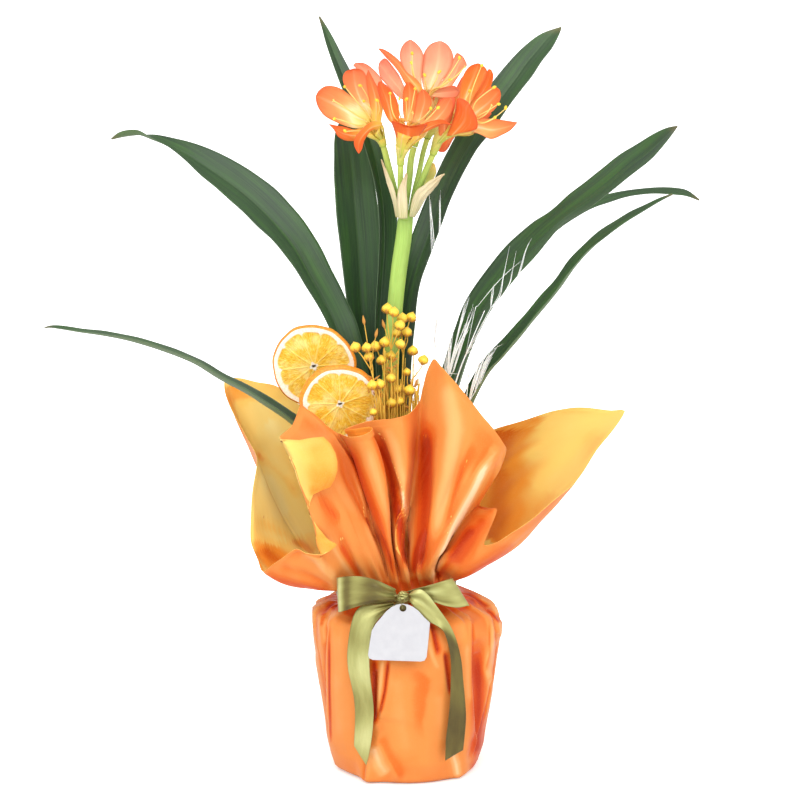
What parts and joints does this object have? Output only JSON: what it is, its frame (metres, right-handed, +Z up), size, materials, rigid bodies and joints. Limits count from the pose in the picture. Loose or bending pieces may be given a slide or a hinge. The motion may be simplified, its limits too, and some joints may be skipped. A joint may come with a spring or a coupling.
{
  "type": "potted clivia",
  "caption": "Flowering clivia with arching strap leaves and an orange flower head, in a nursery pot dressed in gathered two-tone paper with a satin bow, blank card tag and dried trimmings.",
  "frame": {"origin": "on the floor under the centre of the round base of the wrap", "axes": "+Z up; -Y is the front, where the bow and the tag are; +X is to the right seen from the front"},
  "size_m": [0.5224, 0.2508, 0.604],
  "materials": {
    "leaf": "semi-gloss leathery leaf, dark green",
    "stalk": "smooth fresh yellow-green stalk",
    "bud": "smooth green bud",
    "dry_bract": "dry straw-coloured papery bract",
    "petal": "satin orange petal with a yellow throat",
    "flax": "dried and dyed golden yellow",
    "grass": "bleached, matte, feathery",
    "pick": "plain wood",
    "dried_fruit": "dried slice, amber flesh and orange rind",
    "wrap": "crumpled two-tone paper, orange outside and apricot yellow inside",
    "ribbon": "olive satin",
    "card": "smooth white card",
    "thread": "off-white twisted thread",
    "pot": "thin brown thermoformed plastic",
    "crown": "firm pale green leaf-base tissue",
    "soil": "moist peat and bark"
  },
  "bodies": {
    "root": {"nursery_pot": "pot", "potting_soil": "soil", "plant_crown": "crown", "leaf_far_left": "leaf", "leaf_left_arch": "leaf", "leaf_upright_left": "leaf", "leaf_upright_tall": "leaf", "leaf_upright_right": "leaf", "leaf_right_broad": "leaf", "leaf_right_arch": "leaf", "leaf_right_low": "leaf", "flower_scape": "stalk", "pedicel_left": "stalk", "pedicel_front": "stalk", "pedicel_top": "stalk", "pedicel_back": "stalk", "pedicel_right": "stalk", "flower_bud": "bud", "bract_left": "dry_bract", "bract_centre": "dry_bract", "bract_right": "dry_bract", "flower_left": "petal", "flower_front": "petal", "flower_top": "petal", "flower_right": "petal", "flower_back": "petal", "flax_sprig_a": "flax", "flax_sprig_b": "flax", "flax_sprig_c": "flax", "flax_sprig_d": "flax", "flax_sprig_e": "flax", "grass_plume_a": "grass", "grass_plume_b": "grass", "grass_plume_c": "grass", "grass_plume_d": "grass", "orange_slice_back": "dried_fruit", "orange_slice_front": "dried_fruit", "slice_pick_back": "pick", "slice_pick_front": "pick", "paper_wrap": "wrap", "ribbon_band": "ribbon", "ribbon_knot": "ribbon", "bow_loop_left": "ribbon", "bow_loop_right": "ribbon", "ribbon_tail_left": "ribbon", "ribbon_tail_right": "ribbon", "gift_tag": "card", "tag_cord": "thread"}
  },
  "joints": []
}
